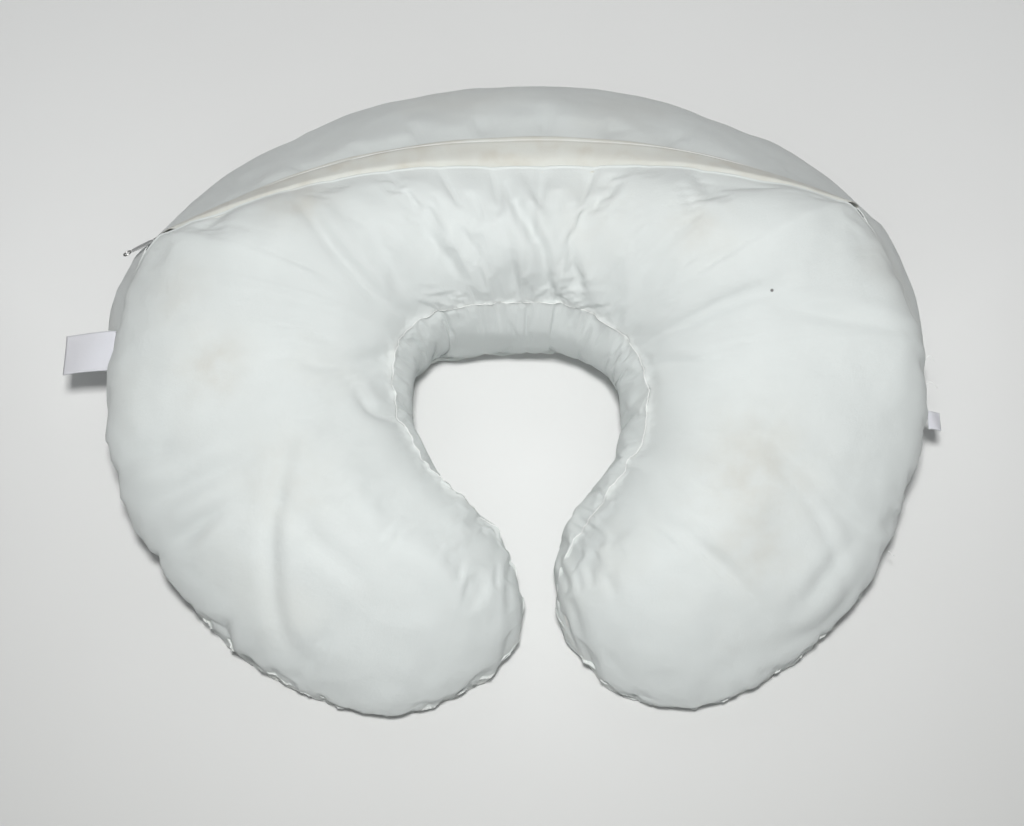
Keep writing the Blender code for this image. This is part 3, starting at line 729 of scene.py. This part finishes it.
# ---------------------------------------------------------------- the cover
def soil_and_shade_map(rings, edges):
    """Soil and painted shade on the cover: real stains of a used cover, darkening along its zip
    and seams that is partly dirt and partly painted shade, and painted shade near the floor.
    """
    stains = [((-.177, -.021), .022, .30), ((-.129, .085), .020, .35), ((.124, .061), .020, .22),
              ((.153, -.085), .035, .30), ((.153, -.125), .025, .25), ((-.129, -.092), .030, .15),
              ((-.201, .025), .020, .15), ((.059, .075), .030, .12)]
    soil_and_shade = np.zeros(rings.shape[:2])
    for point, size, depth in stains:
        gap = np.linalg.norm(rings[..., :2] - point, axis=2)
        soil_and_shade = np.maximum(soil_and_shade, depth * np.exp(-(gap / size) ** 2) * (rings[..., 2] > 0.05))
    # Darker along the outer seam and zip and along the opening's seam: partly dirt, partly painted
    # shade in the seams.
    soil_and_shade = np.maximum(soil_and_shade, 0.16 * np.exp(-edges["outer"] / 0.008))
    soil_and_shade = np.maximum(soil_and_shade, 0.10 * np.exp(-edges["top"] / 0.003))
    # Painted shade: darker where the cover comes within 2 cm of the floor.
    return np.maximum(soil_and_shade, 0.25 * (1 - smooth_step(0, 0.02, rings[..., 2])))


def shape_cover():
    """Ring grid of the cover with its folds, and the soil and painted shade at every point."""
    rings = np.array([section_ring(s) for s in SECTIONS])
    normals = ring_normals(rings)
    along = np.broadcast_to(zip_share(SECTIONS)[:, None], rings.shape[:2])
    sewn = 1 - along
    tip = np.minimum(np.arange(ROWS), np.arange(ROWS)[::-1])[:, None]
    outer_run = lengths(rings[:, SEAM_COLUMN])
    inner_run = lengths(rings[:, 0])
    outer_top = away_from(rings, SEAM_COLUMN, 0, SEAM_COLUMN)
    outer_wall = away_from(rings, SEAM_COLUMN, SEAM_COLUMN, FOOT_COLUMN)
    inner_top = away_from(rings, 0, 0, SEAM_COLUMN - 1)
    inner_gusset = away_from(rings, COLUMNS, HEM_COLUMN, COLUMNS)
    inner_gusset[:, 0] = 0
    hem = away_from(rings, HEM_COLUMN, FOOT_COLUMN, COLUMNS - 1)
    outer = np.minimum(outer_top, outer_wall)
    top = np.minimum(inner_top, inner_gusset)

    height = np.zeros(rings.shape[:2])
    # running length, distance from the seam, shortest and longest wave, size, where it applies
    puckers = ((outer_run, outer_top, 5, 26, 1.0, sewn), (outer_run, outer_wall, 5, 26, 1.0, sewn),
               (outer_run, outer, 9, 40, 0.7, along), (inner_run, inner_top, 6, 30, 0.5, 1),
               (inner_run, inner_gusset, 10, 40, 1.0, 1), (inner_run, hem, 8, 30, 0.6, 1))
    for k, (run, away, shortest, longest, size, where) in enumerate(puckers):
        height += gathers(run, away, shortest * MM, longest * MM, size * MM, SEED + k) * where
    height += 0.9 * MM * np.exp(-(outer / (1.6 * MM)) ** 2) * sewn
    height += 0.6 * MM * np.exp(-(top / (1.2 * MM)) ** 2)
    for points, half_width, depth in FOLDS:
        height += (crease(points, rings, half_width, depth)
                   * smooth_step(0, 0.3, normals[..., 2]) * (rings[..., 2] > 0.03))
    height += 1.1 * MM * lumps(rings, 0.055, SEED)
    height += 0.45 * MM * lumps(rings, 0.018, SEED + 1)
    full = (SIDE_ROUND * np.interp(SECTIONS, SIDE_AT, SIDE_SHARE))[:, None] * sewn
    height += full * (outer_top / 0.020) * np.exp(1 - outer_top / 0.020)
    height -= 0.6 * full * (outer_wall / 0.015) * np.exp(1 - outer_wall / 0.015)
    level = unit((rings[:, SEAM_COLUMN] - rings[:, 0]) * (1, 1, 0))[:, None, :]
    drawn_in = (full * np.exp(-(outer / 0.05) ** 2) * smooth_step(0, 0.04, rings[..., 2]))
    lift = STRIP_LIFT * np.exp(-(outer / 0.024) ** 2) * along
    calm = 1 - 0.85 * along * np.exp(-(outer / 0.022) ** 4)
    height = height * smooth_step(0, 6, tip) * (0.15 + 0.85 * smooth_step(0, 0.012, rings[..., 2]))
    height *= calm
    shaped = rings + normals * (height + lift)[..., None] - level * drawn_in[..., None]
    shaped += simulate(rings, normals) * calm[..., None]
    shaped[..., 2] = np.maximum(shaped[..., 2], 0.0)
    return shaped, soil_and_shade_map(rings, {"outer": outer, "top": top})


def close_tips(grid, values):
    """Rows beyond both ends that draw each arm's tip together."""
    for end, step in ((0, -1), (-1, 1)):
        edge = grid[end]
        forward = unit(edge.mean(axis=0) - grid[-2 if end else 1].mean(axis=0))
        centre = edge.mean(axis=0)
        rows = []
        for angle in np.linspace(0, pi / 2, TIP_ROWS + 1)[1:]:
            spread = max(cos(angle), 0.02)
            rows.append(centre + (edge - centre) * spread + forward * 4 * MM * sin(angle))
        extra, soil_and_shade = np.array(rows), np.repeat(values[[end]], len(rows), axis=0)
        if step < 0:
            grid, values = np.vstack([extra[::-1], grid]), np.vstack([soil_and_shade, values])
        else:
            grid, values = np.vstack([grid, extra]), np.vstack([values, soil_and_shade])
    return grid, values


def cut_back(grid, soil_and_shade, cut, flip=False):
    """Rows shortened at their far end by `cut`, so that they stop beside the zip."""
    if flip:
        grid, soil_and_shade = grid[:, ::-1], soil_and_shade[:, ::-1]
    shares = crowded_ends(grid.shape[1] - 1)
    rows, marks = [], []
    for row, values, less in zip(grid, soil_and_shade, cut):
        run = lengths(row)
        place = shares * (run[-1] - less)
        rows.append(np.column_stack([np.interp(place, run, row[:, k]) for k in range(3)]))
        marks.append(np.interp(place, run, values))
    grid, soil_and_shade = np.array(rows), np.array(marks)
    return (grid[:, ::-1], soil_and_shade[:, ::-1]) if flip else (grid, soil_and_shade)


def roll_edge(grid, soil_and_shade, share):
    """Columns that turn the panel's last edge over into a folded, rounded lip."""
    out = unit(grid[:, -1] - grid[:, -3])
    along = unit(np.gradient(grid[:, -1], axis=0))
    up = unit(np.cross(along, out))
    if up[len(up) // 2, 2] < 0:
        up = -up
    profile = [(0.5, 0.5), (1.1, 0.75), (1.7, 0.6), (2.1, 0.1), (2.1, -0.6), (1.6, -1.3),
               (0.4, -1.8), (-3.0, -2.2)]
    grow = (0.25 + 0.75 * share)[:, None] * MM
    extra = np.stack([grid[:, -1] + (out * a + up * b) * grow for a, b in profile], axis=1)
    marks = np.repeat(soil_and_shade[:, -1:], len(profile), axis=1)
    return np.concatenate([grid, extra], axis=1), np.concatenate([soil_and_shade, marks], axis=1)


def make_cover(material):
    """The cover's three panels; returns the grid of points they are cut from."""
    grid, soil_and_shade = close_tips(*shape_cover())
    sections = np.concatenate([np.full(TIP_ROWS, SECTIONS[0]), SECTIONS,
                               np.full(TIP_ROWS, SECTIONS[-1])])
    share = zip_share(sections)
    top, top_soil_and_shade = cut_back(grid[:, :SEAM_COLUMN + 1], soil_and_shade[:, :SEAM_COLUMN + 1],
                             (fold_edge(sections) + 2 * MM) * share)
    top, top_soil_and_shade = roll_edge(top, top_soil_and_shade, share)
    wall, wall_soil_and_shade = cut_back(grid[:, SEAM_COLUMN:HEM_COLUMN + 1],
                               soil_and_shade[:, SEAM_COLUMN:HEM_COLUMN + 1], ZIP_SLOT * share, True)
    gusset = np.concatenate([grid[:, HEM_COLUMN:], grid[:, :1]], axis=1)
    gusset_soil_and_shade = np.concatenate([soil_and_shade[:, HEM_COLUMN:], soil_and_shade[:, :1]], axis=1)
    for name, panel, marks, cad in (
            ("cover_top", top, top_soil_and_shade, "cover_top_panel"),
            ("cover_wall_and_base", wall, wall_soil_and_shade, "cover_bottom_panel"),
            ("cover_gusset_cloth", gusset, gusset_soil_and_shade, "cover_gusset")):
        piece = cloth_grid(name, panel, material, marks)
        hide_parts(cad)
    return grid


def shrunk(grid, depth):
    """Closed rings inside the cover, drawn in by about `depth`, with domed ends."""
    inner = grid[TIP_ROWS + 4:-TIP_ROWS - 4:4, ::2]
    centre = inner.mean(axis=1, keepdims=True)
    reach = np.linalg.norm(inner - centre, axis=2, keepdims=True)
    rings = centre + (inner - centre) * (1 - depth / np.maximum(reach, 0.02))
    ends = []
    for end, near in ((0, 1), (-1, -2)):
        forward = unit(centre[end] - centre[near]) * 3 * MM
        ends.append([centre[end] + (rings[end] - centre[end]) * share + forward * rise
                     for share, rise in ((0.8, 0.6), (0.4, 1.0), (0.02, 1.15))])
    return np.concatenate([ends[0][::-1], rings, ends[1]])


def make_inside(grid, fibre, ticking):
    """The filling and its sewn casing, which follow the cover's folds underneath."""
    hem, seam = HEM_COLUMN // 2, SEAM_COLUMN // 2
    casing = shrunk(grid, CASING_DEPTH)
    closed = np.concatenate([casing, casing[:, :1]], axis=1)
    for name, first, last, cad in (("casing_top", 0, seam, "casing_top_panel"),
                                   ("casing_base", seam, hem, "casing_bottom_panel"),
                                   ("casing_gusset_cloth", hem, COLUMNS // 2, "casing_gusset")):
        piece = cloth_grid(name, closed[:, first:last + 1], ticking)
        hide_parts(cad)
    core = shrunk(grid, CASING_DEPTH + 2 * MM)
    rows, count = core.shape[:2]
    faces = [(i * count + j, (i + 1) * count + j, (i + 1) * count + (j + 1) % count,
              i * count + (j + 1) % count) for i in range(rows - 1) for j in range(count)]
    filling = add_mesh("fibre_core", core.reshape(-1, 3), faces, fibre)
    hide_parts("fibre_fill")


# ---------------------------------------------------------------- seams and the lap
def make_seams(grid, material):
    """Sewing lines: thread that dips in and out along each seam."""
    inner = grid[TIP_ROWS:-TIP_ROWS]
    for name, column, first, last, cad in (
            ("outer_seam_stitches_left", SEAM_COLUMN, 0.3, ZIP_FIRST, "outer_seam_thread_left"),
            ("outer_seam_stitches_right", SEAM_COLUMN, ZIP_LAST, LAST - 0.3,
             "outer_seam_thread_right"),
            ("inner_seam_stitches", 0, 0.3, LAST - 0.3, "inner_top_seam_thread"),
            ("hem_stitches", HEM_COLUMN, 0.3, LAST - 0.3, "inner_bottom_seam_thread")):
        rows = (SECTIONS >= first) & (SECTIONS <= last)
        line = inner[rows, column]
        out = ring_normals(inner)[rows, column]
        run = lengths(line)
        count = int(run[-1] / (0.7 * MM))
        place = np.linspace(0, run[-1], count)
        path = np.column_stack([np.interp(place, run, line[:, k]) for k in range(3)])
        lift = np.column_stack([np.interp(place, run, out[:, k]) for k in range(3)])
        wave = np.abs(np.sin(pi * place / (2.8 * MM)))
        path = path + lift * ((wave * 0.45 - 0.15) * MM)[:, None]
        piece = thread_along(name, path, 0.28 * MM, material)
        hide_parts(cad)


def make_lap(material, thread):
    """Folded strip over the zip, tucked under the top panel's fold, and its stitches."""
    sections = np.linspace(LAP_START, ZIP_LAST - 0.04, 300)
    azimuths = np.array([zip_azimuth(s) for s in sections])
    run = -azimuths * ZIP_RADIUS
    waves = wave_noise(run, 12 * MM, 60 * MM, 5, SEED + 9)
    ripple = sum(values * wavelength for wavelength, values in waves) * 0.004
    rows, stitch_dirt_and_shade = [], []
    for i, section in enumerate(sections):
        low = -fold_edge(section) - 4 * MM
        line = stitch_line(section)
        high = line + LAP_HEM + 0.4 * MM * np.sin(run[i] / (9 * MM))
        places = np.linspace(low, high, 30)
        heights = [(lap_height(p) + ripple[i] * (1 - abs(p) / 0.02)
                    - 0.6 * MM * np.exp(-((p - line) / (1.2 * MM)) ** 2)
                    - 1.2 * MM * smooth_step(high - 1.0 * MM, high, p))
                   * (1 - 0.85 * smooth_step(low + 1.5 * MM, low + 6.5 * MM, 2 * low + 8 * MM - p))
                   for p in places]
        rows.append([strip_point(section, p, h) for p, h in zip(places, heights)])
        # Darker along the lap's stitch groove: partly dirt, partly painted shade in the groove.
        stitch_dirt_and_shade.append(np.exp(-((places - line) / (1.4 * MM)) ** 2))
    grid = np.array(rows)
    soil_and_shade = (0.20 + 0.25 * np.clip(lumps(grid, 0.012, SEED + 4), 0, 1)
            + 0.40 * np.array(stitch_dirt_and_shade) * np.clip(0.6 + lumps(grid, 0.02, SEED + 6), 0, 1))
    piece = cloth_grid("zip_lap_cloth", grid, material, soil_and_shade)
    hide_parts("zip_lap")
    path = []
    for k, section in enumerate(np.linspace(LAP_START + 0.01, ZIP_LAST - 0.05, 620)):
        across = stitch_line(section) + (0.75 if k % 2 else -0.75) * MM
        path.append(strip_point(section, across, lap_height(across) - 0.15 * MM))
    stitches = thread_along("lap_stitches", np.array(path), 0.24 * MM, thread)


# ---------------------------------------------------------------- labels, ring and threads
def make_label(name, cad, body, material, thread, border):
    """Folded tab of satin tape with a woven border, over the part's plain tab."""
    low, high = (np.array(corner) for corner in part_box(cad))
    side = -1 if low[0] < 0 else 1
    root, tip = (high[0], low[0]) if side < 0 else (low[0], high[0])
    cols, rows = 25, 25
    grid = np.empty((rows, cols, 3))
    for i, a in enumerate(np.linspace(0, 1, rows)):
        for j, b in enumerate(np.linspace(0, 1, cols)):
            bend = 0.9 * MM * np.sin(3.1 * a + 2.4 * b)
            grid[i, j] = (root + (tip - root) * a, low[1] + (high[1] - low[1]) * b,
                          high[2] - 0.5 * MM - (high[2] - low[2] - 1.2 * MM) * a ** 1.5 + bend * a)
    piece = cloth_grid(name, grid, material, thickness=0.9 * MM, body=body)
    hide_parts(cad)
    if not border:
        return
    edge = [grid[i, 2] for i in range(2, rows - 2)] + [grid[rows - 3, j] for j in
                                                       range(2, cols - 2)]
    edge += [grid[i, cols - 3] for i in range(rows - 3, 1, -1)]
    path = np.array(edge) + np.array([0, 0, 0.15 * MM])
    line = thread_along(name + "_stitches", path, 0.22 * MM, thread, body)


def make_loose_threads(thread):
    """Cut ends of sewing thread that stick out of the seam at the right side."""
    for k, (section, reach) in enumerate(((16.45, 6), (16.75, 7), (18.6, 4))):
        root = outer_seam(section)
        out = unit(np.append((root - inner_seam(section))[:2], 0))
        path = [root + out * (reach * t) * MM
                + np.array([0, 3.2 * sin(4 * t + k) * t, 1.5 * sin(3 * t)]) * MM
                for t in np.linspace(0, 1, 14)]
        piece = thread_along("loose_thread_%d" % (k + 1), np.array(path), 0.22 * MM, thread)


# ---------------------------------------------------------------- carried-over parts
def dress_cad(materials):
    """Procedural finishes on the parts that are kept as they are."""
    for name, item in frame["nodes"].items():
        slot = next((s["material_slot"] for s in frame["record"]["subparts"]
                     if s["node"] == name), None)
        if slot in materials:
            item.data.materials.clear()
            item.data.materials.append(materials[slot])


# ---------------------------------------------------------------- floor, light, camera
FLOOR_HALF, FLOOR_DEPTH = 4, .0004           # metres; it lies just below the cover
# name, azimuth and elevation in degrees, distance and size in metres, watts, colour
LAMPS = [("flash", 0, 78, 1.42, 0.12, 16, (1.0, 0.995, 0.985)),
         ("fill", 0, 42, 2.0, 1.6, 6, (0.97, 0.99, 1.0)),
         ("back", 180, 52, 2.4, 2.0, 7, (0.98, 0.99, 1.0))]
WORLD_STRENGTH = 0.09
VIEW_ELEVATION, VIEW_DISTANCE, VIEW_HEIGHT = 70, 1.15, 0.07
LENS, SENSOR_WIDTH = 62.2, 36
SHIFT_X, SHIFT_Y = -0.0039, -0.0098


def make_floor():
    """Pale backdrop paper under the pillow, with painted light fall-off toward the front and
    sides.
    """
    half, level = FLOOR_HALF, -FLOOR_DEPTH
    mesh = bpy.data.meshes.new("floor")
    mesh.from_pydata([(-half, -half, level), (half, -half, level), (half, half, level),
                      (-half, half, level)], [], [(0, 1, 2, 3)])
    floor = bpy.data.objects.new("floor", mesh)
    mesh.materials.append(floor_material())
    bpy.context.scene.collection.objects.link(floor)


def area_light(name, azimuth, elevation, distance, size, power, colour):
    """Square lamp that looks at the pillow; azimuth 0 is on the camera's side."""
    a, e = radians(azimuth), radians(elevation)
    lamp = bpy.data.lights.new(name, "AREA")
    lamp.size = size
    lamp.energy = power
    lamp.color = colour
    item = bpy.data.objects.new(name, lamp)
    back = Vector((sin(a) * cos(e), -cos(a) * cos(e), sin(e)))
    item.location = back * distance
    item.rotation_euler = (-back).to_track_quat("-Z", "Y").to_euler()
    bpy.context.scene.collection.objects.link(item)


def make_light():
    """A small flash, a soft fill, a soft lamp behind and a dim world."""
    for lamp in LAMPS:
        area_light(*lamp)
    world = bpy.data.worlds.new("studio")
    world.use_nodes = True
    sky = world.node_tree.nodes["Background"]
    sky.inputs["Color"].default_value = (0.96, 0.98, 1.0, 1)
    sky.inputs["Strength"].default_value = WORLD_STRENGTH
    bpy.context.scene.world = world
    bpy.context.scene.view_settings.view_transform = "Standard"


def make_camera():
    """Seen from the opening's side, 70 degrees above level."""
    elevation = radians(VIEW_ELEVATION)
    target = Vector((-CENTRE[0], -CENTRE[1], VIEW_HEIGHT))
    back = Vector((0, -cos(elevation), sin(elevation)))
    camera = bpy.data.cameras.new("camera")
    camera.lens = LENS
    camera.sensor_width = SENSOR_WIDTH
    camera.shift_x, camera.shift_y = SHIFT_X, SHIFT_Y
    item = bpy.data.objects.new("camera", camera)
    item.location = target + back * VIEW_DISTANCE
    item.rotation_euler = (-back).to_track_quat("-Z", "Y").to_euler()
    bpy.context.scene.collection.objects.link(item)
    bpy.context.scene.camera = item


def build():
    make_camera()
    make_light()
    make_floor()
    specks = [((.168, .024, .141), .0014), ((.236, -.053, .104), .0010),
              ((-.083, -.161, .086), .0010)]
    cloth = cloth_material("cover_cloth", (0.72, 0.76, 0.75), 0.55 * MM, specks=specks)
    lap = cloth_material("lap_cloth", (0.71, 0.73, 0.69), 0.55 * MM)
    satin = cloth_material("label_satin", (0.78, 0.79, 0.84), 0.4 * MM, sheen=0.1)
    thread = thread_material()
    dress_cad({"zip_tape": tape_material(), "zip_coil": coil_material(),
               "zip_metal": metal_material()})
    pull = frame["nodes"]["zip_pull_tab"]
    pull.data.materials[0] = pull_material()
    grid = make_cover(cloth)
    make_inside(grid, fibre_material(), ticking_material())
    make_seams(grid, thread)
    make_lap(lap, thread)
    make_label("side_label_cloth", "side_label", "side_label_tab", satin, thread, True)
    make_label("care_label_cloth", "care_label", "care_label_tab", satin, thread, False)
    make_loose_threads(thread)


build()
bpy.context.view_layer.update()
